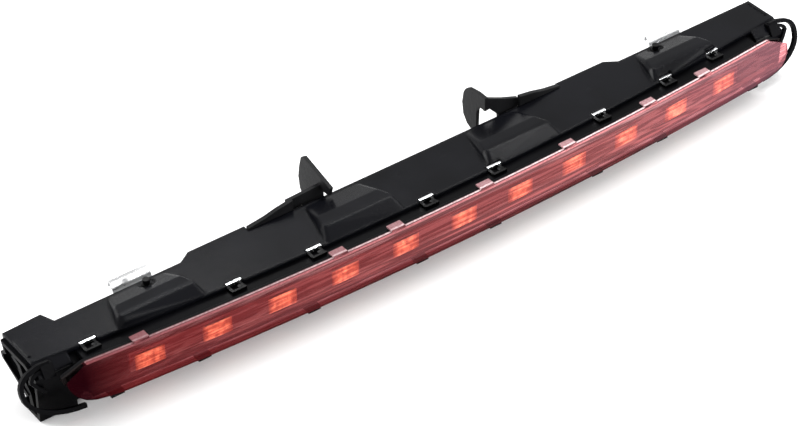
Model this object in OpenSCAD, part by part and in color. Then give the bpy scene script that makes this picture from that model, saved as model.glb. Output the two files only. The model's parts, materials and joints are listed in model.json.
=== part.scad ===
// High-mounted third brake light: a long bowed lamp with eleven light cells behind one red lens,
// carried by a black moulding with spring clips, snap hooks and a cover with four raised housings.
// X runs along the lamp, +Y points to the rear of the lamp (away from the lens), +Z is up.
// The sizes below are set in lens coordinates: y = 0 and z = 0 lie on the middle of the lens's top
// edge. placed() moves every piece so that the origin is under the middle of the whole lamp.

/* [Lens] */
// Half length of the lens's straight top edge
lens_half = 212; // [170:1:240]
// How far the lens tips run on past the top edge
lens_tip = 12.5; // [8:0.5:16]
// Height of the lens
lens_h = 22; // [20:0.5:28]
// How far the lens face bulges forward at its crease
lens_bulge = 6; // [4:0.5:9]
// Wall of the lens
lens_wall = 2; // [1.5:0.1:2.2]
// Depth of the lens's side walls behind its top edge
lens_depth = 2.4; // [2.2:0.2:5]
// Plan radius of the bowed lens
lens_bow_r = 2400; // [2000:10:4000]
// Length over which the lower edge sweeps up to each tip
lens_sweep = 33; // [20:1:45]

/* [Light cells] */
// Number of light cells
led_count = 11; // [5:2:13]
// Distance of the last cell's middle from the end of the lens's top edge
led_end = 32; // [26:0.5:40]
// Height of the row of diodes below the lens's top edge
led_drop = 12; // [10:0.5:13]
// Width of one cell's reflector mouth
cell_w = 17; // [13:0.5:26]

/* [Housing] */
// Wall of the lamp housing
housing_wall = 1.8; // [1.4:0.1:2.4]
// Depth of the flat rear face of the housing behind the lens's top edge
housing_back = 26; // [25:0.5:30]
// Height of the housing rim below the lens's top edge
rim_drop = 0.6; // [0.4:0.1:1.2]
// Thickness of the foam seal
seal_t = 0.8; // [0.6:0.1:1.6]

/* [Cover] */
// How far the cover runs past each end of the lens's top edge
cover_over = 20; // [17:1:30]
// Distance from the lens's top edge back to the cover's front edge, at the middle
cover_gap = 14.2; // [13:0.1:17]
// Plan radius of the cover's front edge
cover_bow_r = 2050; // [1800:10:3500]
// Depth of the cover's rear edge behind the lens's top edge
cover_back = 47.2; // [45:0.1:55]
// Thickness of the cover
cover_t = 2.5; // [2:0.1:3]
// Height of the cover's top face below the lens's top edge
cover_drop = 1.6; // [1:0.1:3]
// Height of the four raised housings above the cover
hump_h = 4.6; // [2.5:0.1:6]
// Length of the top of a raised housing along the lamp
hump_l = 44; // [30:1:48]
// Depth of the sloping front of the inner raised housings
hump_d = 7; // [4:0.5:9]
// Distance of the inner housings from the middle
hump_inner_x = 50; // [40:1:60]
// Distance of the outer housings from the middle
hump_outer_x = 164; // [150:1:176]

/* [End caps] */
// Width of each end cap along the lamp
cap_w = 22; // [16:0.5:26]
// Depth of the end cap's floor below the lens's top edge
cap_drop = 33.5; // [31:0.5:40]
// How far the left ear reaches behind the cover's rear edge
ear_depth = 7.5; // [4:0.5:10]
// Side of the hoop's bar
hoop_bar = 2.2; // [1.6:0.1:3]
// How far the hoop stands out past the cover
hoop_out = 11; // [9:0.5:14]

/* [Clips and hooks] */
// Distance of the left spring clip from the middle
left_clip_x = 162; // [155:1:185]
// Distance of the right spring clip from the middle
right_clip_x = 176; // [155:1:185]
// Width of a spring clip's tongue
clip_w = 22; // [16:1:26]
// Thickness of the clip's sheet steel
clip_t = 0.9; // [0.7:0.1:1.2]
// How far a clip's tongue reaches behind the cover's rear edge
clip_reach = 10.5; // [8:0.5:14]
// Distance of the hooks' fixed ends from the middle
hook_x = 98; // [92:1:104]
// Distance of the hook tips from the middle
hook_tip_x = 51; // [46:1:56]
// How far the hook tips reach behind the cover's rear edge
hook_reach = 23; // [18:0.5:27]
// Thickness of a hook's blade
hook_t = 2; // [1.6:0.1:2.6]
// Height of a hook's blade
blade_h = 27; // [18:1:28]
// Width of a hook's blade
blade_w = 10; // [7:0.5:12]
// Radius of a locating peg
peg_r = 1.8; // [1.2:0.1:2.5]

/* [Fasteners and wiring] */
// Radius of the screw shanks
screw_r = 1.3; // [1:0.1:1.5]
// Radius of the screw heads
screw_head_r = 2.6; // [2.2:0.1:3]
// Radius of each internal lead
wire_r = 0.8; // [0.6:0.1:1]
// Width of the connector socket
socket_w = 17; // [14:0.5:22]
// Height of the connector socket
socket_h = 11; // [9:0.5:12]

/* [Hidden] */
$fn = 32;
// Places along the lamp are given for a lens of this half length, and they follow the lens
given_half = 212;
along = lens_half / given_half;
cover_half = lens_half + cover_over;
led_pitch = 2 * (lens_half - led_end) / (led_count - 1);
inner_hump = along * hump_inner_x;
outer_hump = along * hump_outer_x;
// Clearance between pieces that are fitted together by hand
fit_gap = 0.3;
// Overshoot of a cut past the face it opens
cut = 1;
// Segments of the wide bows
bow_fn = 720;
// Depth of the lens's bottom edge, in front of its top edge
lens_toe = 3.3;
// Height of the lens crease below the top edge, as a share of the lens's height
crease_share = 0.7;
lens_end = lens_half + lens_tip;
lens_tip_z = -lens_h / 4;
rim_y = lens_depth + seal_t;
rim_t = 1.6;
body_top = -cover_drop - cover_t;
body_low = -lens_h - housing_wall;
board_t = 1.6;
board_gap = 1;
board_y = housing_back - housing_wall - board_gap - board_t;
board_h = 12;
led_span = (led_count - 1) * led_pitch;
board_half = led_span / 2 + 10;
led_body = [3.4, 2.2, 2.8];
led_dome_r = 1.2;
cell_h = 2 * (led_drop + body_top - housing_wall - 0.4);
cell_wall = 1;
cell_front = 2.5;
carrier_y = housing_back;
carrier_back = cover_back - fit_gap;
carrier_low = -20;
carrier_wall = 2;
cap_in = cover_half - cap_w;
cap_front = cover_gap + pow(cap_in, 2) / (2 * cover_bow_r) - 4;
hoop_y = cap_front + 4.2;
hoop_depth = 2.4;
clip_root_z = body_top - 6;
clip_root_y = cover_back - fit_gap + clip_t + 1.9;
hinge_gap = 0.4;
hinge_r = 0.8;
hook_pin_r = 1.2;
hook_eye_r = 2.6;
hook_eye_t = 2.4;
hook_pivot_x = hook_tip_x + 16;
hook_pivot_y = cover_back + 4.6;
hook_low = -20;
hook_high = body_top - fit_gap;
hook_rise = 10;
// Place and depth of the step in the cover's rear edge
step_x = 131 * along;
step_y = 4.2;
peg_x = 160 * along;
peg_base_r = peg_r + 0.3;
peg_y = carrier_back - carrier_wall - peg_base_r - 0.4;
peg_top = 2.2;
peg_l = 3;
// Places of the lens latches along the lamp
LATCHES = along * [-203, -126, -81, -14, 29, 100, 148, 183];
// Places of the tabs on the lens's top edge
LENS_TABS = along * [-184, -75, -41, 14, 68, 124, 164];
// Places of the lower latches along the lamp
LOWER_LATCHES = along * [-200, -154, -93, -29, 17, 85, 131, 200];
latch_w = 9;
COVER_SCREWS = along * [-196, -110, -14, 14, 110, 196];
BOARD_SCREWS = led_pitch * [-3.5, -1.5, 1.5, 3.5];
REGULATORS = led_pitch * [-2.5, 0.5, 2.5];
RIBS = along * [for (i = [-6:6]) 30 * i];
socket_depth = 13;
socket_y = cover_back - socket_depth;
screw_y = min(carrier_y + 12, carrier_back - carrier_wall - 5);
boss_r = 3.2;
boss_h = 7;
screw_bite = 1.7;
front_y = -lens_bulge;
back_y = cover_back + hook_reach;
mid_y = (front_y + back_y) / 2;

// ---- shared helpers ----

module placed() {
    translate([0, -mid_y, cap_drop]) children();
}

// Depth of a bow of radius r at the distance x from the middle
function bow(r, x) = r - sqrt(r * r - x * x);

// Points of an elliptical arc in the X-Z plane
function arc(cx, cz, rx, rz, from, to, steps) =
    [for (i = [0:steps]) let (a = from + (to - from) * i / steps) [cx + rx * cos(a), cz + rz * sin(a)]];

// Sweeps a side profile (depth, height) along a bow of radius r from -half to +half
module bow_sweep(r, half) {
    span = asin(half / r);
    translate([0, r, 0])
        rotate([0, 0, -90 - span])
            rotate_extrude(angle = 2 * span, $fn = bow_fn)
                translate([r, 0]) mirror([1, 0]) children();
}

// Front view of the lens, with its swept-up lower corners, drawn smaller by inset
module lens_outline(inset) {
    right = concat(
        [[lens_half - inset, 0 - inset]],
        arc(lens_end - lens_sweep, lens_tip_z, lens_sweep - inset, lens_h + lens_tip_z - inset, 0, -90, 10)
    );
    polygon(concat(right, [for (i = [len(right) - 1:-1:0]) [-right[i][0], right[i][1]]]));
}

module front_view_block(from_y, to_y) {
    translate([0, to_y, 0]) rotate([90, 0, 0]) linear_extrude(height = to_y - from_y) children();
}

module box(x, y, z) {
    translate([x[0], y[0], z[0]]) cube([x[1] - x[0], y[1] - y[0], z[1] - z[0]]);
}

// Side profile of the lens's outer face, closed by a flat back at the depth back
module lens_profile(back) {
    crease = -crease_share * lens_h;
    polygon([
        [0, 0], [-0.2 * lens_bulge, -2.4], [-0.7 * lens_bulge, 0.6 * crease], [-lens_bulge, crease],
        [-0.9 * lens_bulge, crease - 2.6], [-lens_toe, -lens_h], [back, -lens_h], [back, 0]
    ]);
}

// Everything that follows mirrors left and right from one module: side is -1 or 1
module sided(side) {
    mirror([side < 0 ? 1 : 0, 0, 0]) children();
}

// ---- lens and lamp housing ----

module lens() {
    color([0.72, 0.05, 0.08, 0.7]) placed() difference() {
        union() {
            intersection() {
                bow_sweep(lens_bow_r, lens_end + cut) lens_profile(lens_depth);
                front_view_block(-20, 40) lens_outline(0);
            }
            for (x = LENS_TABS) lens_tab(x);
        }
        intersection() {
            bow_sweep(lens_bow_r, lens_end + cut) intersection() {
                translate([lens_wall, 0]) lens_profile(lens_depth + cut);
                translate([-20, -lens_h + lens_wall]) square([60, lens_h - 2 * lens_wall]);
            }
            front_view_block(-20, 40) lens_outline(lens_wall);
        }
    }
}

// A flat tab on the lens's top edge that reaches back over the housing's rim
module lens_tab(x) {
    translate([x, bow(lens_bow_r, x), 0]) {
        box([-4, 4], [0.8, lens_depth + 3.4], [0.1, 1]);
        box([-4, 4], [0.8, 1.8], [-0.6, 1]);
    }
}

module lens_seal() {
    color([0.1, 0.1, 0.1]) placed() difference() {
        intersection() {
            bow_sweep(lens_bow_r, lens_end + cut)
                translate([lens_depth, -lens_h]) square([seal_t, lens_h]);
            front_view_block(-20, 40) lens_outline(0);
        }
        front_view_block(-20, 40) lens_outline(lens_wall);
    }
}

module lamp_housing() {
    color([0.09, 0.09, 0.1]) placed() difference() {
        union() {
            intersection() {
                bow_sweep(lens_bow_r, lens_end + cut)
                    translate([rim_y, -lens_h]) square([rim_t, lens_h - rim_drop]);
                front_view_block(-20, 60) lens_outline(0);
            }
            intersection() {
                bow_sweep(lens_bow_r, lens_end + cut)
                    translate([rim_y, body_low]) square([housing_back, body_top - body_low]);
                box([-cap_in + fit_gap, cap_in - fit_gap], [-10, housing_back], [body_low, body_top]);
            }
            for (x = LOWER_LATCHES) lower_latch(x);
        }
        intersection() {
            bow_sweep(lens_bow_r, lens_end + cut)
                translate([rim_y - cut, -lens_h]) square([housing_back + 20, lens_h]);
            front_view_block(-20, housing_back - housing_wall) lens_outline(lens_wall + 0.2);
            box([-cap_in + housing_wall + fit_gap, cap_in - housing_wall - fit_gap],
                [-10, housing_back], [-lens_h, body_top - housing_wall]);
        }
        lead_holes();
        for (x = BOARD_SCREWS) board_screw_hole(x);
    }
}

// A hooked tab that grips the lens's lower edge
module lower_latch(x) {
    y = bow(lens_bow_r, x) + rim_y;
    translate([x, y, 0]) {
        box([-3.5, 3.5], [-rim_y - 2, rim_t], [-lens_h - 2.2, -lens_h - 0.2]);
        box([-3.5, 3.5], [0.4, rim_t + 3], [-lens_h - 2.2, -lens_h + 1]);
    }
}

module lead_holes() {
    for (side = [-1, 1])
        translate([side * 3, housing_back + cut, -led_drop]) rotate([90, 0, 0])
            cylinder(r = wire_r + fit_gap, h = 2 * housing_wall + cut, $fn = 24);
}

module board_screw_hole(x) {
    translate([x, housing_back + cut, -led_drop]) rotate([90, 0, 0])
        cylinder(r = screw_r, h = 2 * housing_wall + cut, $fn = 24);
}

// A bowed face frame with one tapered cup behind each mouth
module reflector() {
    floor_y = board_y - led_body[1] - 0.4;
    half = led_span / 2 + cell_w / 2 + 2;
    color([0.85, 0.85, 0.86]) placed() difference() {
        intersection() {
            union() {
                bow_sweep(lens_bow_r, lens_end)
                    translate([cell_front, -led_drop - cell_h / 2]) square([cell_wall + 0.4, cell_h]);
                for (i = [0:led_count - 1]) at_cell(i) cup(floor_y, cell_wall);
            }
            bow_sweep(lens_bow_r, lens_end) translate([cell_front, -lens_h]) square([60, lens_h]);
            box([-half, half], [-10, floor_y], [-led_drop - cell_h / 2, -led_drop + cell_h / 2]);
        }
        for (i = [0:led_count - 1]) at_cell(i) {
            cup(floor_y - cell_wall, 0);
            box([-2.6, 2.6], [floor_y - 3, board_y], [-2.2, 2.2]);
        }
    }
}

module at_cell(i) {
    translate([(i - (led_count - 1) / 2) * led_pitch, 0, -led_drop]) children();
}

// The solid of one cup, from its wide mouth in front to its floor at floor_y
module cup(floor_y, wall) {
    mouth = [cell_w / 2 + wall, cell_h / 2 - cell_wall + wall];
    end = [4 + wall, 3.2 + wall];
    intersection() {
        translate([0, 0, -mouth[1]]) linear_extrude(height = 2 * mouth[1])
            polygon([[-mouth[0], -1], [mouth[0], -1], [end[0], floor_y], [-end[0], floor_y]]);
        side_view_block(-mouth[0] - cut, mouth[0] + cut)
            polygon([[-1, -mouth[1]], [floor_y, -end[1]], [floor_y, end[1]], [-1, mouth[1]]]);
    }
}

// ---- electrics ----

module circuit_board() {
    color([0.1, 0.35, 0.18]) placed() difference() {
        box([-board_half, board_half], [board_y, board_y + board_t],
            [-led_drop - board_h / 2, -led_drop + board_h / 2]);
        for (x = BOARD_SCREWS)
            translate([x, board_y + board_t + cut, -led_drop]) rotate([90, 0, 0])
                cylinder(r = screw_r + 0.2, h = board_t + 2 * cut, $fn = 24);
    }
}

module leds() {
    color([1, 0.75, 0.35]) placed()
        for (i = [0:led_count - 1])
            at_cell(i) translate([0, board_y, 0]) led();
}

module led() {
    box([-led_body[0] / 2, led_body[0] / 2], [-led_body[1] + led_dome_r, 0],
        [-led_body[2] / 2, led_body[2] / 2]);
    translate([0, -led_body[1] + led_dome_r, 0]) intersection() {
        sphere(r = led_dome_r, $fn = 32);
        box([-3, 3], [-3, 0.01], [-3, 3]);
    }
}

// Small parts on the front of the board, one beside each diode, clear of the reflector's floor
module led_resistors() {
    color([0.12, 0.12, 0.12]) placed()
        for (i = [0:led_count - 1])
            at_cell(i) translate([9, board_y, 0]) box([-1.6, 1.6], [-0.6, 0], [-0.8, 0.8]);
}

module current_regulators() {
    color([0.08, 0.08, 0.08]) placed()
        for (x = REGULATORS)
            translate([x, board_y + board_t, -led_drop])
                box([-3.2, 3.2], [0, 0.8], [-3, 3]);
}

module polarity_diode() {
    color([0.15, 0.15, 0.15]) placed()
        translate([-led_pitch / 2, board_y + board_t, -led_drop]) box([-2.2, 2.2], [0, 0.8], [-1.3, 1.3]);
}

module board_connector() {
    color([0.9, 0.88, 0.8]) placed()
        translate([0, board_y + board_t, -led_drop]) difference() {
            box([-6, 6], [0, board_gap - 0.1], [-4, 4]);
            for (side = [-1, 1])
                translate([side * 3, -cut, 0]) rotate([-90, 0, 0])
                    cylinder(r = wire_r, h = board_gap + 2 * cut, $fn = 24);
        }
}

module lead(side) {
    y_in = board_y + board_t;
    y_out = socket_y - 1;
    translate([side * 3, y_in, -led_drop]) rotate([-90, 0, 0])
        cylinder(r = wire_r, h = y_out - y_in, $fn = 24);
}

module positive_lead() {
    color([0.75, 0.1, 0.08]) placed() lead(1);
}

module ground_lead() {
    color([0.35, 0.2, 0.1]) placed() lead(-1);
}

module socket_body() {
    color([0.13, 0.13, 0.13]) placed() translate([0, socket_y, -led_drop]) difference() {
        union() {
            box([-socket_w / 2, socket_w / 2], [0, socket_depth], [-socket_h / 2, socket_h / 2]);
            box([-socket_w / 2 - 2, socket_w / 2 + 2], [socket_depth - carrier_wall - fit_gap - 2,
                socket_depth - carrier_wall - fit_gap], [-socket_h / 2 - 1.5, socket_h / 2]);
        }
        box([-socket_w / 2 + 1.4, socket_w / 2 - 1.4], [3, socket_depth + cut],
            [-socket_h / 2 + 1.4, socket_h / 2 - 1.4]);
        for (side = [-1, 1])
            translate([side * 3, -cut, 0]) rotate([-90, 0, 0])
                cylinder(r = 0.7, h = 3 + 2 * cut, $fn = 24);
    }
}

module contact_pins() {
    color([0.8, 0.65, 0.25]) placed()
        for (side = [-1, 1])
            translate([side * 3, socket_y - 1, -led_drop]) rotate([-90, 0, 0])
                cylinder(r = 0.7, h = socket_depth - 2, $fn = 24);
}

// ---- carrier, cover and ends ----

module carrier() {
    half = cap_in - fit_gap;
    color([0.08, 0.08, 0.09]) placed() difference() {
        union() {
            box([-half, half], [carrier_back - carrier_wall, carrier_back], [carrier_low, body_top]);
            box([-half, half], [carrier_y, carrier_back], [body_top - carrier_wall, body_top]);
            for (x = [-half, half - carrier_wall])
                box([x, x + carrier_wall], [carrier_y, carrier_back], [carrier_low, body_top]);
            for (x = RIBS)
                box([x - 0.8, x + 0.8], [carrier_y, carrier_back], [abs(x) < 20 ? -6.5 : -14, body_top]);
            for (x = COVER_SCREWS)
                translate([x, screw_y, body_top - boss_h]) cylinder(r = boss_r, h = boss_h);
        }
        for (x = COVER_SCREWS)
            translate([x, screw_y, body_top - boss_h - cut])
                cylinder(r = screw_r + 0.2, h = boss_h + 2 * cut);
        translate([0, 0, -led_drop])
            box([-socket_w / 2 - fit_gap / 2, socket_w / 2 + fit_gap / 2],
                [carrier_back - carrier_wall - cut, carrier_back + cut],
                [-socket_h / 2 - 0.15, socket_h / 2 + 0.15]);
        for (x = [-peg_x, peg_x])
            translate([x, peg_y, body_top - carrier_wall - cut])
                cylinder(r = peg_base_r + 0.05, h = carrier_wall + 2 * cut);
    }
}

// Plan of the cover: a bowed front edge and a stepped rear edge
module cover_plan() {
    intersection() {
        polygon([
            [-cover_half, 0], [cover_half, 0], [cover_half, cover_back], [step_x + 7, cover_back - 0.4],
            [step_x, cover_back + step_y], [hook_x + fit_gap, cover_back + step_y],
            [hook_x + fit_gap, cover_back],
            [-hook_x - fit_gap, cover_back], [-hook_x - fit_gap, cover_back + step_y],
            [-step_x, cover_back + step_y],
            [-step_x - 7, cover_back - 0.4], [-cap_in + 2, cover_back - 0.4],
            [-cap_in - 1, cover_back + ear_depth],
            [-cover_half, cover_back + ear_depth - 1]
        ]);
        translate([0, cover_gap + cover_bow_r]) circle(r = cover_bow_r, $fn = bow_fn);
    }
}

module top_cover() {
    color([0.1, 0.1, 0.11]) placed() difference() {
        union() {
            translate([0, 0, body_top]) linear_extrude(height = cover_t) cover_plan();
            for (side = [-1, 1], x = [inner_hump, outer_hump]) hump(side * x);
            end_lips();
        }
        for (side = [-1, 1], x = [inner_hump, outer_hump]) hump_hollow(side * x);
        for (x = COVER_SCREWS)
            translate([x, screw_y, body_top - cut]) cylinder(r = screw_r, h = screw_bite + cut);
        for (x = [-peg_x, peg_x])
            translate([x, peg_y, body_top - cut]) {
                cylinder(r = peg_base_r + fit_gap, h = hump_h);
                // Flat seat round the peg, where the panel's edge comes down
                translate([0, 0, cut + cover_t]) cylinder(r = peg_base_r + 2.4, h = hump_h);
            }
        for (x = LATCHES) latch_window(x);
    }
}

// Depth of the cover's front edge at the distance x from the middle
function cover_front(x) = cover_gap + bow(cover_bow_r, x);

// Depth of the top of a raised housing's front, which slopes less on the outer housings
function hump_front(x) = cover_front(x) + hump_d - bow(cover_bow_r, x) / 2;

// A raised housing: a sloping front, soft corners and a top that runs down to the rear edge
module hump(x) {
    top = -cover_drop + hump_h;
    translate([x, 0, 0]) hull() {
        for (side = [-1, 1]) {
            translate([side * (hump_l / 2 - 3), hump_front(x) + 2, top - 2.2])
                cylinder(r1 = 3, r2 = 1.4, h = 2.2);
            translate([side * (hump_l / 2 - 5), hump_front(x) + 8, top - 2.2])
                cylinder(r1 = 3, r2 = 1.6, h = 1.8);
            translate([side * (hump_l / 2 - 0.5), cover_front(x + side * hump_l / 2) + 2.2, body_top])
                cylinder(r = 2, h = cover_t);
            translate([side * (hump_l / 2 - 8), cover_back - 5, body_top])
                cylinder(r = 3, h = cover_t + 0.2);
        }
    }
}

module hump_hollow(x) {
    top = -cover_drop + hump_h - cover_t;
    y = hump_front(x);
    translate([x - hump_l / 2 + 6, 0, 0]) rotate([90, 0, 90]) linear_extrude(height = hump_l - 12)
        polygon([[y, body_top - cut], [y + 2, top], [y + 8, top - 0.6], [y + 14, body_top - cut]]);
}

// Sloping lips that close the cover's front corners, past the ends of the lens
module end_lips() {
    for (side = [-1, 1]) sided(side) {
        y = cover_gap + bow(cover_bow_r, cover_half);
        translate([cap_in + 4, 0, 0]) rotate([90, 0, 90]) linear_extrude(height = cover_half - cap_in - 4)
            polygon([[cap_front, body_top - 1.9], [y, -cover_drop], [y + 3, -cover_drop], [y + 3, body_top],
                [cap_front, body_top - 3.4]]);
        // A raised bead along the end of the cover
        box([cover_half - 2.4, cover_half - 0.8], [y + 4, cover_back - 2],
            [-cover_drop, -cover_drop + 0.7]);
    }
}

module latch_window(x) {
    y = cover_gap + bow(cover_bow_r, x);
    translate([x, y, 0]) box([-latch_w / 2, latch_w / 2], [-2, 2.4], [body_top - cut, cut]);
}

// Snap catches standing on the housing, under the retaining bars
module latch_catches() {
    color([0.1, 0.1, 0.1]) placed()
        for (x = LATCHES) translate([x, cover_front(x), body_top]) {
            box([-latch_w / 2 + 0.4, latch_w / 2 - 0.4], [-4.6, -3.4], [0, 1.8]);
            for (side = [-1, 1]) translate([side * (latch_w / 2 - 1.2), 0, 0]) box([-0.8, 0.8],
                [-4.6, 1.9], [0, 1.2]);
            translate([1.4, -2, 0]) cylinder(r = 1.1, h = 1.4);
        }
}

// Bright bars that lie along the cover's front edge and hold the catches down
module latch_bars() {
    color([0.85, 0.86, 0.87]) placed()
        for (x = LATCHES) translate([x, cover_front(x), body_top + 1.2]) {
            box([-latch_w / 2 + 0.3, latch_w / 2 - 0.3], [0.3, 1.7], [0, 1.7]);
        }
}

// Side view of an end cap: it leans forward at the rear, down to a narrow foot
module end_cap_side(back, inset) {
    polygon([
        [cap_front + inset, body_top - 3.5 - inset], [cap_front + 9.5 + inset, body_top - inset],
        [back - inset, body_top - inset], [back - 2 - inset, body_top - 6],
        [back + 1.5 - inset, body_top - 8],
        [back + 1 - inset, body_top - 11], [cap_front + 12 - inset, -cap_drop + 8 + inset],
        [cap_front + 16.5 - inset, -cap_drop + 4 + inset], [cap_front + 15.5 - inset, -cap_drop + inset],
        [cap_front + 1 + inset, -cap_drop + inset]
    ]);
}

// Side view of the strap that crosses the recess in an end cap's outer side
module end_strap() {
    polygon([
        [cap_front + 22, body_top - 3], [cap_front + 16, body_top - 5], [cap_front + 13, body_top - 12],
        [cap_front + 8, body_top - 17], [cap_front + 6, -cap_drop + 2], [cap_front + 9.5, -cap_drop + 2],
        [cap_front + 11, body_top - 19], [cap_front + 16.5, body_top - 13], [cap_front + 19, body_top - 7],
        [cap_front + 24, body_top - 5]
    ]);
}

module side_view_block(from_x, to_x) {
    translate([from_x, 0, 0]) rotate([90, 0, 90]) linear_extrude(height = to_x - from_x) children();
}

module end_cap(ear) {
    out = cover_half + 1.6;
    back = cover_back - 0.6 + ear;
    color([0.08, 0.08, 0.09]) placed() difference() {
        side_view_block(cap_in, out) end_cap_side(back, 0);
        difference() {
            side_view_block(out - 2.6, out + cut) end_cap_side(back, 2.2);
            side_view_block(out - 3, out - 0.5) end_strap();
        }
        // Hollow, open towards the middle of the lamp
        side_view_block(cap_in - cut, out - 4.6) intersection() {
            end_cap_side(back, 2.4);
            translate([cap_front + 2.4, -cap_drop + 2.4]) square([60, cap_drop]);
        }
        // Notch under the inner front corner, at the end of the lens
        box([cap_in - cut, cap_in + 3.5], [cap_front - cut, cap_front + 4],
            [-cap_drop - cut, -cap_drop + 5]);
    }
}

module right_end_cap() { end_cap(0); }
module left_end_cap() { mirror([1, 0, 0]) end_cap(ear_depth - 1); }

// A thin bar that loops from the cover's corner round the lens tip, with a short inner strand.
// The loop lies in a plane that leans forward towards its free end.
module hoop() {
    out = cover_half + hoop_out;
    lean = 21;
    inner_x = cover_half - 7.5;
    loop = concat([[cover_half - 7, 0], [cover_half - 1, 0.3]],
        arc(out - 10, -9.6, 10, 9, 78, 0, 6),
        arc(out - 33, -11.4, 33, 18.4, 0, -84, 9));
    strand = concat([[cover_half - 5, -2.9]], arc(inner_x + 5.6, -7.4, 6.6, 4.8, 80, 0, 4),
        [[inner_x + 9.4, -11.5]], arc(inner_x + 4.4, -11.5, 4, 3.4, -20, -70, 2));
    color([0.07, 0.07, 0.07]) placed() {
        translate([0, hoop_y, -cover_drop]) rotate([-lean, 0, 0]) {
            front_view_block(-hoop_depth, 0) bar(loop, hoop_bar);
            front_view_block(-hoop_depth + 0.4, 0) bar(strand, hoop_bar - 0.4);
        }
        // Foot on the cover's front corner
        side_view_block(cover_half - 8, cover_half - 2)
            polygon([[cap_front, body_top - 3.4], [cap_front, body_top - 1.9],
                [hoop_y + 0.6, -cover_drop - 0.4],
                [hoop_y - 3, -cover_drop + 0.2], [cap_front - 2.4, body_top - 3.4]]);
    }
}

// A flat bar of the given width along the outside of a path
module bar(path, width) {
    inner = [for (i = [0:len(path) - 1]) path[i] - bar_normal(path, i) * width];
    polygon(concat(path, [for (i = [len(inner) - 1:-1:0]) inner[i]]));
}

// Unit normal of a polyline at its point i, turned to the outer side of a clockwise path
function bar_normal(path, i) =
    let (a = path[max(i - 1, 0)], b = path[min(i + 1, len(path) - 1)], d = (b - a) / norm(b - a))
    [-d[1], d[0]];

module right_hoop() {
    hoop();
}

module left_hoop() {
    mirror([1, 0, 0]) hoop();
}

// ---- spring clips, hooks and fasteners ----

// Folded sheet-steel base: a strip on the carrier's rear wall, with two knuckles for the tongue
module clip_base(clip_x) {
    color([0.78, 0.79, 0.8]) placed() {
        box([clip_x - clip_w / 2 - 8, clip_x + clip_w / 2 + 4], [carrier_back, carrier_back + clip_t],
            [clip_root_z - 7, body_top - 0.4]);
        for (x = [clip_x - clip_w / 2 - 2.4, clip_x + clip_w / 2 + 0.4])
            difference() {
                union() {
                    translate([x, clip_root_y, clip_root_z]) rotate([0, 90, 0]) cylinder(r = 1.8, h = 2);
                    box([x, x + 2], [carrier_back + clip_t - 0.1, clip_root_y],
                        [clip_root_z - 1.8, clip_root_z + 1.8]);
                }
                translate([x - cut, clip_root_y, clip_root_z]) rotate([0, 90, 0])
                    cylinder(r = hinge_r, h = 2 + 2 * cut);
            }
    }
}

// Sprung tongue: rises from its root, runs back over a crown and ends in a turned-down lip
module clip_tongue(clip_x) {
    r = 1.5;
    reach = clip_reach - 4;
    half = clip_w / 2 - 0.2;
    color([0.86, 0.87, 0.88]) placed() {
        translate([clip_x - half, clip_root_y, clip_root_z]) rotate([0, 90, 0])
            cylinder(r = r, h = 2 * half);
        translate([clip_x - clip_w / 2 - 2, clip_root_y, clip_root_z]) rotate([0, 90, 0])
            cylinder(r = hinge_r - 0.05, h = clip_w + 4, $fn = 24);
        translate([clip_x - half, clip_root_y, clip_root_z]) rotate([90, 0, 90])
            linear_extrude(height = 2 * half)
            polygon([
                [0.3, -r + 0.1], [reach * 0.4, 3.4], [reach * 0.8, 7.8], [reach, 8.6], [reach + 1.3, 7.4],
                [reach + 1.3, 4.6], [reach + 0.4, 4.6], [reach + 0.4, 6.9], [reach - 0.2, 7.6],
                [reach * 0.84, 6.9], [reach * 0.52, 3], [1.5, -0.2]
            ]);
    }
}

module right_clip_base() { clip_base(along * right_clip_x); }
module left_clip_base() { mirror([1, 0, 0]) clip_base(along * left_clip_x); }
module right_clip_tongue() { clip_tongue(along * right_clip_x); }
module left_clip_tongue() { mirror([1, 0, 0]) clip_tongue(along * left_clip_x); }

// Wing behind the cover's rear edge: it rises towards the hook and ends in two eyes for its pin
module hook_base() {
    wall_y = [cover_back + fit_gap, cover_back + 2.6];
    in_x = hook_pivot_x + 4.6;
    color([0.14, 0.14, 0.15]) placed() {
        front_view_block(wall_y[0], wall_y[1])
            polygon([[in_x, hook_low], [hook_x, hook_low], [hook_x, body_top + 3.4],
                [hook_x - 10, body_top + 4.8],
                [in_x + 9, body_top + 6.6], [in_x, body_top + 8]]);
        box([in_x, hook_x], [carrier_back, wall_y[1]], [hook_low, hook_high]);
        for (z = [hook_low, hook_high - hook_eye_t])
            difference() {
                union() {
                    translate([hook_pivot_x, hook_pivot_y, z]) cylinder(r = hook_eye_r, h = hook_eye_t);
                    box([hook_pivot_x, in_x + 1], [wall_y[0] + 0.4, hook_pivot_y], [z, z + hook_eye_t]);
                }
                translate([hook_pivot_x, hook_pivot_y, z - cut])
                    cylinder(r = hook_pin_r, h = hook_eye_t + 2 * cut);
            }
    }
}

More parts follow.
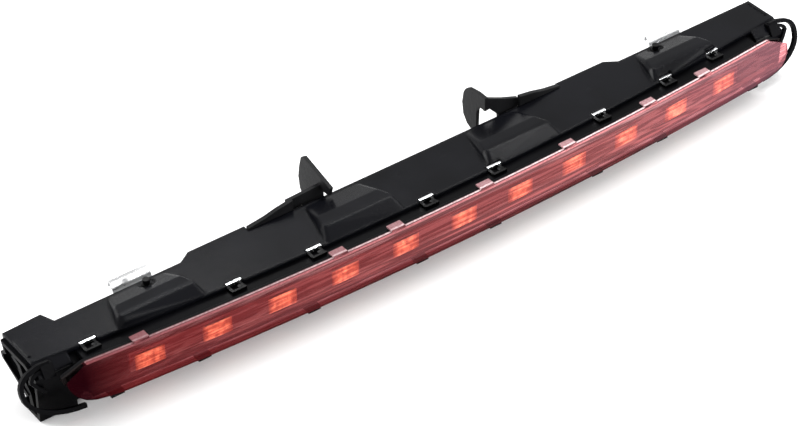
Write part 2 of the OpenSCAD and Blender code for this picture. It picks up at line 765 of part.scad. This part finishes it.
// Sprung arm: a barrel on the pin, a leg that rises and runs inwards, and a leaf-shaped blade.
// The blade is either cut away above its lower half or webbed down to the leg.
module hook_arm(webbed) {
    low = hook_low + hook_eye_t + hinge_gap;
    high = hook_high - hook_eye_t - hinge_gap;
    clear_x = hook_pivot_x - hook_eye_r - hinge_gap;
    tail_low = hook_high + hinge_gap;
    y = hook_pivot_y - hook_t / 2;
    tip_y = cover_back + hook_reach;
    tip_top = hook_rise + (webbed ? 2 : -1.4);
    // Outline of the leg from the end over the eye to the blade, and back below the blade
    leg_top = webbed
        ? [[hook_pivot_x + 6, 2], [hook_tip_x, 3]]
        : [[hook_pivot_x + 6, 0.8], [clear_x - 1, 4.4], [hook_tip_x + 3, 8.4], [hook_tip_x, 9.6]];
    leg_low = webbed
        ? [[hook_tip_x, -8]]
        : [[hook_tip_x, 1.6], [hook_tip_x + 3, 2], [hook_tip_x + 9, -4.4]];
    color([0.16, 0.16, 0.17]) placed() {
        translate([hook_pivot_x, hook_pivot_y, low]) cylinder(r = 2.2, h = high - low);
        translate([hook_pivot_x, hook_pivot_y, hook_low])
            cylinder(r = hook_pin_r - 0.05, h = hook_high - hook_low);
        front_view_block(y, y + hook_t)
            polygon(concat(
                [[hook_pivot_x, low], [hook_pivot_x, high], [clear_x, high], [clear_x, tail_low],
                    [hook_pivot_x + 6, tail_low]],
                leg_top, leg_low, [[hook_tip_x + 10, low]]
            ));
        side_view_block(hook_tip_x, hook_tip_x + hook_t)
            polygon(concat([
                [tip_y - 5.5, tip_top], [tip_y - 3, tip_top - 1.6], [tip_y - 1.2, hook_rise - 6],
                [tip_y, hook_rise - 13],
                [tip_y - 1, hook_rise - blade_h * 0.74], [tip_y - 4, hook_rise - blade_h * 0.9],
                [tip_y - blade_w + 1, hook_rise - blade_h],
                [tip_y - blade_w - 1.6, hook_rise - blade_h * 0.92]
            ], webbed ? [
                [y + 2, hook_rise - blade_h * 0.8], [y, hook_rise - blade_h * 0.7], [y, 0.4],
                [cover_back - 3.5, 0.4], [cover_back - 5, hook_rise - 4.4]
            ] : [
                [tip_y - blade_w - 2, hook_rise - blade_h * 0.72], [tip_y - blade_w - 2.4, hook_rise - 12],
                [tip_y - blade_w - 4, hook_rise - 8.4], [y, hook_rise - 8], [y, hook_rise - 0.4],
                [tip_y - 13, hook_rise - 0.2]
            ]));
    }
}

module right_hook_base() { hook_base(); }
module left_hook_base() { mirror([1, 0, 0]) hook_base(); }
module right_hook_arm() { hook_arm(false); }
module left_hook_arm() { mirror([1, 0, 0]) hook_arm(true); }

// Screws driven from below through the carrier's bosses into the cover
module cover_screws() {
    color([0.25, 0.25, 0.26]) placed()
        for (x = COVER_SCREWS) translate([x, screw_y, body_top - boss_h]) difference() {
            union() {
                cylinder(r = screw_r, h = boss_h + screw_bite - 0.2);
                translate([0, 0, -1.6]) cylinder(r = screw_head_r, h = 1.6);
            }
            for (turn = [0, 90]) rotate([0, 0, turn]) box([-1.6, 1.6], [-0.35, 0.35], [-1.6 - cut, -0.8]);
        }
}

module board_screws() {
    color([0.7, 0.7, 0.72]) placed()
        for (x = BOARD_SCREWS) translate([x, board_y, -led_drop]) rotate([-90, 0, 0]) {
            cylinder(r = screw_r, h = housing_back - board_y);
            translate([0, 0, -0.5]) cylinder(r = 2, h = 0.5);
        }
}

module locating_pegs() {
    color([0.06, 0.06, 0.06]) placed()
        for (x = [-peg_x, peg_x]) translate([x, peg_y, 0]) {
            translate([0, 0, peg_top - peg_l - 0.1]) cylinder(r = peg_r, h = peg_l + 0.1);
            translate([0, 0, body_top - 5]) cylinder(r = peg_base_r, h = peg_top - peg_l - body_top + 5);
        }
}

lens();
lens_seal();
lamp_housing();
reflector();
circuit_board();
leds();
led_resistors();
current_regulators();
polarity_diode();
board_connector();
positive_lead();
ground_lead();
socket_body();
contact_pins();
carrier();
top_cover();
left_end_cap();
right_end_cap();
left_hoop();
right_hoop();
left_clip_base();
right_clip_base();
left_clip_tongue();
right_clip_tongue();
left_hook_base();
right_hook_base();
left_hook_arm();
right_hook_arm();
latch_catches();
latch_bars();
cover_screws();
board_screws();
locating_pegs();
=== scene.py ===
import json
import math
import bmesh
import bpy
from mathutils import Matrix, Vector


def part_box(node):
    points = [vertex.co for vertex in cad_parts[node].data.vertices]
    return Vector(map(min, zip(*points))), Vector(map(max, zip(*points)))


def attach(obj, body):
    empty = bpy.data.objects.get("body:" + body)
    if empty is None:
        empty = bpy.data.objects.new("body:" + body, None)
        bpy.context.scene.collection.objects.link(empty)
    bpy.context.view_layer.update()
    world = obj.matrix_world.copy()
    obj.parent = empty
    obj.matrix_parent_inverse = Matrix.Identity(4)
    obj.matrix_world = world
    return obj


# Lengths are in metres, in the frame of the pack: x along the lamp, y to the back, z up.
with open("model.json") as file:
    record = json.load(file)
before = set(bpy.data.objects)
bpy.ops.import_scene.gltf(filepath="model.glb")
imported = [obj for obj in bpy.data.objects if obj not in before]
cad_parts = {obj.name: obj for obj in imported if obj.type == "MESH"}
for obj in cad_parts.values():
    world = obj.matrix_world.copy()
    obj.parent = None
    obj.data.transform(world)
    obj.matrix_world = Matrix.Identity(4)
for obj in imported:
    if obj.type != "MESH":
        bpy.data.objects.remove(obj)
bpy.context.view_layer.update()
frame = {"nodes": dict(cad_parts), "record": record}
nodes = frame["nodes"]


# ---- helpers for node materials ----

# Sockets of the Mix node when it mixes colours
MIX_FACTOR, MIX_A, MIX_B, MIX_RESULT = 0, 6, 7, 2
# Height of the fine relief on plastics and metals
RELIEF = 0.0002
# Noise scale of the broad patches on plastics
BROAD_SCALE = 35.0


def new_material(name):
    mat = bpy.data.materials.new(name)
    mat.use_nodes = True
    tree = mat.node_tree
    tree.nodes.clear()
    out = tree.nodes.new("ShaderNodeOutputMaterial")
    return mat, tree, out


def link(tree, a, b):
    tree.links.new(a, b)


def is_socket(value):
    return hasattr(value, "is_output")


def feed(tree, value, socket):
    """Link a node's output to a socket, or set the socket to a plain value."""
    if is_socket(value):
        link(tree, value, socket)
    else:
        socket.default_value = value


def add(tree, kind, **inputs):
    """A node with its named inputs linked or set; underscores stand for spaces."""
    node = tree.nodes.new(kind)
    for key, value in inputs.items():
        feed(tree, value, node.inputs[key.replace("_", " ")])
    return node


def coords(tree):
    return tree.nodes.new("ShaderNodeTexCoord").outputs["Object"]


def stretched(tree, where, stretch):
    """Coordinates scaled per axis: a texture is drawn out along an axis with a small scale."""
    return add(tree, "ShaderNodeMapping", Vector=where, Scale=stretch).outputs[0]


def split(tree, where):
    node = tree.nodes.new("ShaderNodeSeparateXYZ")
    link(tree, where, node.inputs[0])
    return node.outputs


def noise(tree, where, scale, detail=3.0, rough=0.5):
    node = add(tree, "ShaderNodeTexNoise", Vector=where, Scale=scale, Detail=detail, Roughness=rough)
    return node.outputs["Fac"]


def ramp(tree, fac, low, high, to_low, to_high):
    """Straight-line map of low..high to to_low..to_high, held at both ends."""
    node = add(tree, "ShaderNodeMapRange", Value=fac, From_Min=low, From_Max=high,
               To_Min=to_low, To_Max=to_high)
    return node.outputs["Result"]


def math_node(tree, operation, *values):
    node = tree.nodes.new("ShaderNodeMath")
    node.operation = operation
    for socket, value in zip(node.inputs, values):
        feed(tree, value, socket)
    return node.outputs[0]


def mix_color(tree, fac, a, b):
    """Colour between a and b, each a socket or a red, green, blue tuple."""
    node = tree.nodes.new("ShaderNodeMix")
    node.data_type = "RGBA"
    link(tree, fac, node.inputs[MIX_FACTOR])
    for index, value in ((MIX_A, a), (MIX_B, b)):
        feed(tree, value if is_socket(value) else (*value, 1), node.inputs[index])
    return node.outputs[MIX_RESULT]


def mix_shader(tree, fac, a, b):
    node = tree.nodes.new("ShaderNodeMixShader")
    for socket, value in zip(node.inputs, (fac, a, b)):
        link(tree, value, socket)
    return node.outputs[0]


def bands(tree, fac, stops):
    """A colour ramp from (position, colour) pairs."""
    node = tree.nodes.new("ShaderNodeValToRGB")
    link(tree, fac, node.inputs[0])
    elements = node.color_ramp.elements
    while len(elements) < len(stops):
        elements.new(0.5)
    for element, (place, color) in zip(elements, stops):
        element.position = place
        element.color = (*color, 1)
    return node.outputs[0]


def rounded_normal(tree, radius, height, strength, distance):
    """Normal with softly rounded edges and the relief of a height texture."""
    bevel = add(tree, "ShaderNodeBevel", Radius=radius)
    bevel.samples = 4
    bump = add(tree, "ShaderNodeBump", Strength=strength, Distance=distance, Height=height,
               Normal=bevel.outputs["Normal"])
    return bump.outputs["Normal"]


def principled(tree, out, **inputs):
    shader = add(tree, "ShaderNodeBsdfPrincipled", **inputs)
    link(tree, shader.outputs[0], out.inputs[0])


# ---- plastics and metals ----

def plastic(name, dark, light, rough, grain, radius, bump=0.3, scale=900.0, specular=0.5):
    """Moulded plastic: fine grain, patchy gloss and softly rounded edges."""
    mat, tree, out = new_material(name)
    where = coords(tree)
    fine = noise(tree, where, scale, 4.0, 0.6)
    broad = noise(tree, where, BROAD_SCALE, 2.0)
    principled(
        tree, out,
        Base_Color=mix_color(tree, ramp(tree, broad, 0.3, 0.7, 0, 1), dark, light),
        Roughness=ramp(tree, broad, 0.25, 0.75, rough - grain, rough + grain),
        Normal=rounded_normal(tree, radius, fine, bump, RELIEF),
        Specular_IOR_Level=specular)
    return mat


def metal(name, dark, light, rough, radius, stretch=(1, 1, 1), scale=400.0, bump=0.15):
    """Sheet metal or plating with drawn streaks."""
    mat, tree, out = new_material(name)
    streak = noise(tree, stretched(tree, coords(tree), stretch), scale, 4.0, 0.6)
    principled(
        tree, out,
        Metallic=1.0,
        Base_Color=mix_color(tree, streak, dark, light),
        Roughness=ramp(tree, streak, 0.3, 0.7, rough * 0.7, rough * 1.3),
        Normal=rounded_normal(tree, radius, streak, bump, RELIEF))
    return mat


# ---- lens ----

# Top of the flange, less the height of the tabs on it
LENS_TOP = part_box("lens")[1].z - 0.001
LENS_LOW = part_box("lens")[0].z
# How far the belly stands in front of the flange
BELLY = 0.006
# Front edge of the flange at the lamp's middle
TOP_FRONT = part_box("lens")[0].y + BELLY
# Radius of the lens's bow
BOW = 2.4
# Depth of flange over which its bands run
FLANGE_DEPTH = 0.006
# Places along x: the left tip and the left half, darkened by painted shade, and the right end, paled
# by a painted sheen
PAINTED_SHADE_LEFT_TIP = (-0.216, -0.192)
PAINTED_SHADE_LEFT_HALF = (-0.20, 0.06)
PAINTED_SHEEN_RIGHT_END = (0.10, 0.225)
# Strength of the painted shade at the left half's outer end
LEFT_SHADE_STRENGTH = 0.85
# Depths behind the outer face between which the wall turns clear
SKIN = (0.0008, 0.0012)
# Noise scale of the fine flutes, and how much they are drawn out along x
FLUTE_SCALE = 900.0
FLUTE_STRETCH = (0.02, 1, 1)


def lens_tint(tree, height, flutes, painted_shade_left_half, painted_shade_left_tip):
    """What the lens lets through, by height from foot to flange: less on the turned-under foot, the
    left half and the left tip, as painted shade.
    """
    # Little passes on the foot: painted shade
    tint = bands(tree, height, [
        (0.00, (0.08, 0.01, 0.01)), (0.22, (0.16, 0.02, 0.02)), (0.28, (0.55, 0.14, 0.15)),
        (0.33, (0.95, 0.40, 0.40)), (0.88, (0.95, 0.40, 0.40)), (0.92, (0.99, 0.62, 0.62)),
    ])
    tint = mix_color(tree, ramp(tree, flutes, 0.44, 0.56, 0, 0.6), tint, (0.40, 0.06, 0.07))
    # Painted shade on the left half and the left tip
    tint = mix_color(tree, ramp(tree, painted_shade_left_half, 0, LEFT_SHADE_STRENGTH, 0, 0.3), tint, (0.50, 0.12, 0.11))
    return mix_color(tree, ramp(tree, painted_shade_left_tip, 0, 1, 0, 0.92), tint, (0.04, 0.004, 0.008))


def lens_front(tree, height, flutes, painted_shade_left_half, painted_shade_left_tip, painted_sheen_right_end):
    """Haze colour of the front: painted shade on the foot, a painted highlight along the crease with a
    brighter band of painted light above it, red belly and a paler top edge of painted highlight;
    painted shade on the left half and the left tip, a painted pale sheen on the right end.
    """
    # Bands: painted shade on the foot (0.00 to 0.27), a painted highlight at the crease (0.31), a
    # brighter band of painted light above it (0.42) and a painted highlight on the top edge (0.95)
    red = bands(tree, height, [
        (0.00, (0.012, 0.003, 0.003)), (0.18, (0.05, 0.012, 0.014)), (0.27, (0.16, 0.04, 0.046)),
        (0.31, (0.62, 0.20, 0.22)), (0.35, (0.30, 0.07, 0.08)), (0.42, (0.85, 0.21, 0.21)),
        (0.58, (0.52, 0.14, 0.14)), (0.90, (0.46, 0.13, 0.135)), (0.95, (0.80, 0.36, 0.37)),
    ])
    red = mix_color(tree, ramp(tree, flutes, 0.44, 0.56, 0, 0.7), red, (0.16, 0.03, 0.034))
    # Painted shade on the left half, a painted pale sheen on the right end and painted shade on the
    # left tip
    red = mix_color(tree, painted_shade_left_half, red, (0.16, 0.010, 0.012))
    red = mix_color(tree, ramp(tree, painted_sheen_right_end, 0, 1, 0, 0.6), red, (0.33, 0.12, 0.17))
    return mix_color(tree, ramp(tree, painted_shade_left_tip, 0, 1, 0, 0.96), red, (0.020, 0.001, 0.004))


def lens_flange(tree, depth, grain, painted_shade_left_half):
    """Haze colour of the flange on top, in bands from its front edge backwards: a red-pink front
    strip, a dark band of painted shadow in the gap behind it and a pale band of painted light on the
    flange's top; painted shade on the left half.
    """
    # Painted shadow in the gap (0.14 to 0.20) and a pale band of painted light on the flange's top
    # (0.24 to 0.40)
    flange = bands(tree, ramp(tree, depth, 0.0, FLANGE_DEPTH, 0, 1), [
        (0.00, (0.60, 0.20, 0.21)), (0.10, (0.60, 0.20, 0.21)), (0.14, (0.03, 0.004, 0.006)),
        (0.20, (0.03, 0.004, 0.006)), (0.24, (0.80, 0.62, 0.63)), (0.40, (0.80, 0.62, 0.63)),
        (0.44, (0.36, 0.22, 0.23)),
    ])
    flange = mix_color(tree, ramp(tree, grain, 0.45, 0.60, 0, 0.5), flange, (0.22, 0.08, 0.09))
    # Painted shade on the left half
    return mix_color(tree, painted_shade_left_half, flange, (0.12, 0.03, 0.035))


def lens_shine(tree, height, painted_shade_left_half, painted_shade_left_tip):
    """How much of the gloss shows: little on the foot, the left half and the left tip, as painted
    shade.
    """
    fresnel = add(tree, "ShaderNodeFresnel", IOR=1.30).outputs[0]
    shine = math_node(tree, "MULTIPLY", fresnel, ramp(tree, height, 0.25, 0.34, 0.12, 1))
    # Gloss turned down on the left half and the left tip: painted shade
    shine = math_node(tree, "MULTIPLY", shine, ramp(tree, painted_shade_left_half, 0, LEFT_SHADE_STRENGTH, 1, 0.25))
    return math_node(tree, "MULTIPLY", shine, ramp(tree, painted_shade_left_tip, 0, 1, 1, 0.1))


def inner_wall(tree, height, depth):
    """One on the wall's inner face, so that tint and haze count only on the outer one."""
    # Outline of the outer face: 0 at the belly's depth, 1 at the flange's front edge
    profile = bands(tree, height, [
        (0.00, (0.45, 0.45, 0.45)), (0.18, (0.10, 0.10, 0.10)), (0.30, (0.0, 0.0, 0.0)),
        (0.58, (0.30, 0.30, 0.30)), (0.89, (0.80, 0.80, 0.80)), (1.00, (1.0, 1.0, 1.0)),
    ])
    outer = ramp(tree, profile, 0, 1, -BELLY, 0)
    behind = ramp(tree, math_node(tree, "SUBTRACT", depth, outer), *SKIN, 0, 1)
    return math_node(tree, "MULTIPLY", behind, ramp(tree, height, 0.95, 0.97, 1, 0))


def red_lens(name):
    """Tinted lens: a pale flange on top with a band of painted light, fine flutes, a painted highlight
    along the crease, painted shade on the turned-under foot, the left half and the left tip, and a
    painted pale sheen on the right end.
    """
    mat, tree, out = new_material(name)
    where = coords(tree)
    x, y, z = split(tree, where)
    height = ramp(tree, z, LENS_LOW, LENS_TOP, 0, 1)
    bowed = math_node(tree, "MULTIPLY", math_node(tree, "POWER", x, 2.0), 0.5 / BOW)
    depth = math_node(tree, "SUBTRACT", math_node(tree, "SUBTRACT", y, TOP_FRONT), bowed)
    # Masks for painted light: painted shade on the left tip and the left half, a painted pale sheen on
    # the right end
    painted_shade_left_tip = ramp(tree, x, *PAINTED_SHADE_LEFT_TIP, 1, 0)
    painted_shade_left_half = ramp(tree, x, *PAINTED_SHADE_LEFT_HALF, LEFT_SHADE_STRENGTH, 0)
    painted_sheen_right_end = ramp(tree, x, *PAINTED_SHEEN_RIGHT_END, 0, 1)
    wave = noise(tree, where, 60.0, 2.0)
    grain = noise(tree, where, 900.0, 2.0)
    flutes = noise(tree, stretched(tree, where, FLUTE_STRETCH), FLUTE_SCALE, 1.0)

    tint = lens_tint(tree, height, flutes, painted_shade_left_half, painted_shade_left_tip)
    clear = add(tree, "ShaderNodeBsdfTransparent", Color=tint)

    front = lens_front(tree, height, flutes, painted_shade_left_half, painted_shade_left_tip, painted_sheen_right_end)
    flange = lens_flange(tree, depth, grain, painted_shade_left_half)
    on_top = ramp(tree, height, 0.98, 0.985, 0, 1)
    haze = add(tree, "ShaderNodeBsdfDiffuse", Color=mix_color(tree, on_top, front, flange))
    haziness = ramp(tree, on_top, 0, 1, 0.42, 0.9)
    body = mix_shader(tree, haziness, clear.outputs[0], haze.outputs[0])

    gloss = add(tree, "ShaderNodeBsdfGlossy", Roughness=0.12, Color=(1.0, 0.80, 0.84, 1),
                Normal=rounded_normal(tree, 0.0005, wave, 0.08, 0.0004))
    shine = lens_shine(tree, height, painted_shade_left_half, painted_shade_left_tip)
    outer_face = mix_shader(tree, shine, body, gloss.outputs[0])

    plain = tree.nodes.new("ShaderNodeBsdfTransparent")
    wall = mix_shader(tree, inner_wall(tree, height, depth), outer_face, plain.outputs[0])
    link(tree, wall, out.inputs[0])
    return mat


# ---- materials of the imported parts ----

MATERIALS = {
    "red_lens": red_lens("red_lens"),
    "foam": plastic(
        "foam", dark=(0.006, 0.004, 0.004), light=(0.012, 0.008, 0.008),
        rough=0.8, grain=0.1, radius=0.0002, bump=0.5, specular=0.1),
    "black_plastic": plastic(
        "black_plastic", dark=(0.0010, 0.0010, 0.0013), light=(0.0022, 0.0022, 0.0030),
        rough=0.38, grain=0.08, radius=0.0006, specular=0.04),
    "cover_plastic": plastic(
        "cover_plastic", dark=(0.0020, 0.0021, 0.0030), light=(0.0034, 0.0036, 0.0052),
        rough=0.22, grain=0.03, radius=0.0018, specular=0.08),
    "reflector": metal(
        "reflector", dark=(0.36, 0.32, 0.31), light=(0.62, 0.57, 0.55),
        rough=0.35, radius=0.0003, stretch=(0.05, 1, 1), scale=700.0, bump=0.4),
    "board": plastic(
        "board", dark=(0.01, 0.08, 0.03), light=(0.015, 0.12, 0.05),
        rough=0.35, grain=0.05, radius=0.0002),
    "led_body": plastic(
        "led_body", dark=(0.9, 0.5, 0.2), light=(1.0, 0.65, 0.3),
        rough=0.3, grain=0.05, radius=0.0002),
    "black_part": plastic(
        "black_part", dark=(0.015, 0.015, 0.015), light=(0.03, 0.03, 0.03),
        rough=0.5, grain=0.05, radius=0.0001),
    "nylon": plastic(
        "nylon", dark=(0.7, 0.66, 0.55), light=(0.8, 0.77, 0.66),
        rough=0.45, grain=0.05, radius=0.0002),
    "lead_red": plastic(
        "lead_red", dark=(0.35, 0.02, 0.015), light=(0.5, 0.03, 0.02),
        rough=0.4, grain=0.05, radius=0.0001),
    "lead_brown": plastic(
        "lead_brown", dark=(0.08, 0.04, 0.02), light=(0.12, 0.06, 0.03),
        rough=0.4, grain=0.05, radius=0.0001),
    "contact_brass": metal(
        "contact_brass", dark=(0.7, 0.5, 0.18), light=(0.85, 0.66, 0.28),
        rough=0.25, radius=0.0001),
    "spring_steel": metal(
        "spring_steel", dark=(0.46, 0.465, 0.47), light=(0.72, 0.725, 0.73),
        rough=0.30, radius=0.0002, stretch=(0.2, 1, 1), scale=300.0),
    "hook_plastic": plastic(
        "hook_plastic", dark=(0.003, 0.003, 0.0035), light=(0.010, 0.010, 0.011),
        rough=0.5, grain=0.08, radius=0.0005, bump=0.9, scale=500.0, specular=0.12),
    "gloss_black": plastic(
        "gloss_black", dark=(0.0008, 0.0008, 0.0010), light=(0.002, 0.002, 0.0024),
        rough=0.30, grain=0.05, radius=0.0004, bump=0.1, specular=0.12),
    "bright_bar": metal(
        "bright_bar", dark=(0.80, 0.81, 0.83), light=(0.96, 0.97, 0.98),
        rough=0.22, radius=0.0003),
    "screw_steel": metal(
        "screw_steel", dark=(0.35, 0.35, 0.36), light=(0.5, 0.5, 0.51),
        rough=0.3, radius=0.0002),
}

for row in frame["record"]["subparts"]:
    obj = nodes[row["node"]]
    obj.data.materials.clear()
    obj.data.materials.append(MATERIALS[row["material_slot"]])


# ---- pillow optics in front of the cups ----

CELLS = 11
PITCH = 0.036
# Width and height of one cell's tile, and its pillows across and up
TILE = (0.0158, 0.0086)
TILE_GRID = (5, 3)
TILE_THICKNESS = 0.0005
# How far each pillow stands out, and the mesh steps along its side
PILLOW = 0.0006
PILLOW_STEPS = 4
# Front of the tiles at the lamp's middle, and the height of their centres
FACE = TOP_FRONT + 0.0020
ROW = LENS_TOP - 0.0132
# A half-odd number of pitches: it keeps x positive and sets the painted glow's peaks on the cells
CELL_SHIFT = 20.5 * PITCH
# Distances from the middle of a gap between which the painted glow rises
GLOW_RISE = (0.0100, 0.0145)
# Width of the dimmer seam of the painted glow at a pillow's side
SEAM = 0.0005


def cell_tile_painted_glow(name):
    """Orange pillow optics in front of each cup, with a painted glow as if the cups were lit: patchy,
    fading towards the tile's ends and dimmer at the pillows' seams.
    """
    mat, tree, out = new_material(name)
    where = coords(tree)
    x = split(tree, where)[0]
    patch = noise(tree, where, 260.0, 3.0, 0.6)
    from_gap = math_node(tree, "PINGPONG", math_node(tree, "ADD", x, CELL_SHIFT), PITCH / 2)
    ends = ramp(tree, from_gap, *GLOW_RISE, 0.10, 1.0)
    half_pillow = TILE[0] / TILE_GRID[0] / 2
    from_seam = math_node(tree, "PINGPONG", math_node(tree, "ADD", x, PITCH), half_pillow)
    seams = ramp(tree, from_seam, 0.0, SEAM, 0.70, 1.0)
    # Emission here is painted glow, standing in for light in the cups
    glow = math_node(tree, "MULTIPLY", ramp(tree, patch, 0.40, 0.60, 0.9, 2.3),
                     math_node(tree, "MULTIPLY", ends, seams))
    principled(
        tree, out,
        Base_Color=mix_color(tree, patch, (0.60, 0.20, 0.12), (0.85, 0.42, 0.26)),
        Roughness=0.3,
        Emission_Color=mix_color(tree, patch, (1.0, 0.50, 0.24), (1.0, 0.72, 0.36)),
        Emission_Strength=glow)
    return mat


def pillow_tiles():
    """One thin sheet of small pillows per cell, all in one mesh that follows the lens's bow."""
    mesh = bmesh.new()
    across, up = (count * PILLOW_STEPS for count in TILE_GRID)
    for cell in range(CELLS):
        middle = (cell - (CELLS - 1) / 2) * PITCH
        grid = []
        for j in range(up + 1):
            row = []
            for i in range(across + 1):
                x = middle + (i / across - 0.5) * TILE[0]
                z = ROW + (j / up - 0.5) * TILE[1]
                crown = (abs(math.sin(math.pi * i / PILLOW_STEPS))
                         * abs(math.sin(math.pi * j / PILLOW_STEPS)))
                y = FACE + x * x / (2 * BOW) - PILLOW * crown
                row.append(mesh.verts.new((x, y, z)))
            grid.append(row)
        for j in range(up):
            for i in range(across):
                corners = (grid[j][i], grid[j][i + 1], grid[j + 1][i + 1], grid[j + 1][i])
                mesh.faces.new(corners).smooth = True
    data = bpy.data.meshes.new("cell_optics")
    mesh.to_mesh(data)
    mesh.free()
    obj = bpy.data.objects.new("cell_optics", data)
    bpy.context.scene.collection.objects.link(obj)
    obj.data.materials.append(cell_tile_painted_glow("cell_tile_painted_glow"))
    thick = obj.modifiers.new("thickness", "SOLIDIFY")
    thick.thickness = TILE_THICKNESS
    thick.offset = -1
    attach(obj, "lamp")


pillow_tiles()


# ---- floor and light ----

FLOOR_SIZE = 8.0
# The floor lies just under the lamp, so that the two don't touch
FLOOR_DROP = 0.0005


def stage_material():
    mat, tree, out = new_material("pale_floor")
    shade = noise(tree, coords(tree), 3.0, 2.0)
    principled(
        tree, out,
        Base_Color=mix_color(tree, shade, (0.93, 0.93, 0.93), (0.95, 0.95, 0.95)),
        Roughness=0.9,
        Specular_IOR_Level=0.0)
    return mat


def aim(obj, target):
    """Turn a lamp or camera so that it looks at a point."""
    obj.rotation_euler = (Vector(target) - obj.location).to_track_quat("-Z", "Y").to_euler()


def area_light(name, place, target, size, power):
    data = bpy.data.lights.new(name, "AREA")
    data.shape = "RECTANGLE"
    data.size, data.size_y = size
    data.energy = power
    obj = bpy.data.objects.new(name, data)
    bpy.context.scene.collection.objects.link(obj)
    obj.location = place
    aim(obj, target)


bpy.ops.mesh.primitive_plane_add(size=FLOOR_SIZE, location=(0, 0, -FLOOR_DROP))
floor = bpy.context.object
floor.name = "floor"
floor.data.materials.append(stage_material())

world = bpy.data.worlds.new("studio")
world.use_nodes = True
bpy.context.scene.world = world
background = world.node_tree.nodes["Background"]
background.inputs["Color"].default_value = (1.0, 1.0, 1.0, 1)
background.inputs["Strength"].default_value = 1.0
bpy.context.scene.view_settings.view_transform = "Standard"

# Long strips for the highlights along the cover and the lens
area_light("edge_strip", place=(0.50, 0.19, 0.93), target=(0, 0, 0.03), size=(1.4, 0.06), power=9.0)
area_light("front_strip", place=(0.51, -0.87, 0.49), target=(0, 0, 0.03), size=(0.8, 0.12), power=6.0)
# Broader fill behind the left end and in front of the right one
area_light("left_rim", place=(-0.72, 0.72, 0.52), target=(-0.1, 0, 0.03), size=(0.5, 0.3), power=8.0)
area_light("right_front", place=(1.15, -1.05, 0.22), target=(0.1, 0, 0.02), size=(0.6, 0.5), power=1.5)


# ---- camera ----

CAMERA_PLACE = (-0.6204, -0.8340, 0.8262)
CAMERA_TARGET = (0, -0.0309, 0.0335)
# Focal length and sensor width in millimetres
FOCAL_LENGTH = 117.0
SENSOR_WIDTH = 36.0
# Shift of the picture, in widths of the frame
SHIFT = (-0.0819, -0.0187)

cam_data = bpy.data.cameras.new("camera")
cam_data.lens = FOCAL_LENGTH
cam_data.sensor_width = SENSOR_WIDTH
cam_data.shift_x, cam_data.shift_y = SHIFT
camera = bpy.data.objects.new("camera", cam_data)
bpy.context.scene.collection.objects.link(camera)
camera.location = CAMERA_PLACE
aim(camera, CAMERA_TARGET)
bpy.context.scene.camera = camera
